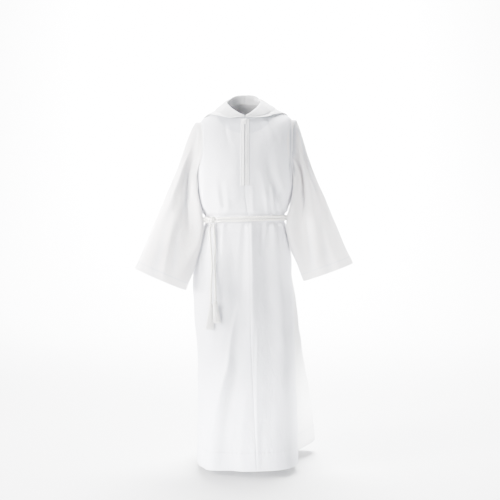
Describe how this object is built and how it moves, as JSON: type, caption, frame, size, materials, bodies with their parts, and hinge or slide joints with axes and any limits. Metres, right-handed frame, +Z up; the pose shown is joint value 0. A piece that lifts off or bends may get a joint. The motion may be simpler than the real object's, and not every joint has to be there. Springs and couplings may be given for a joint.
{
  "type": "child's hooded alb with rope cincture, in its worn shape",
  "caption": "White child's alb in its worn, hollow shape: hood lying down, front zip, wide sleeves, long flared skirt and a knotted rope cincture with tassels.",
  "frame": {"origin": "centre of the neck opening, level with the base of the neck, where the wearer's shoulders and neck hold the robe up", "axes": "+Z up, -Y out of the front, +X toward the wearer's left"},
  "size_m": [0.6559, 0.4146, 1.1347],
  "materials": {
    "alb_cloth": "smooth plain-woven polyester and cotton, matt white",
    "zip_white": "white nylon and lacquered metal, satin",
    "cord_white": "twisted off-white cotton cord, soft and matt"
  },
  "bodies": {
    "robe": {"front_left": "alb_cloth", "front_right": "alb_cloth", "back": "alb_cloth", "sleeve_left": "alb_cloth", "sleeve_right": "alb_cloth", "hood_left": "alb_cloth", "hood_right": "alb_cloth", "neck_facing_left": "alb_cloth", "neck_facing_right": "alb_cloth", "zip_welt_left": "alb_cloth", "zip_welt_right": "alb_cloth", "zip_tape": "zip_white", "zip_coil": "zip_white", "zip_slider": "zip_white", "belt_cord_upper": "cord_white", "belt_cord_lower": "cord_white", "cincture_knot": "cord_white", "cord_end_front": "cord_white", "cord_end_back": "cord_white", "tassel_front": "cord_white", "tassel_back": "cord_white"},
    "pull_tab": {"zip_pull_tab": "zip_white"}
  },
  "joints": [
    {"name": "pull_tab_hinge", "type": "hinge", "parent": "robe", "child": "pull_tab", "pos_m": [0, -0.06769, -0.04775], "axis": [-1, 0, 0], "range_deg": [0, 140]}
  ]
}
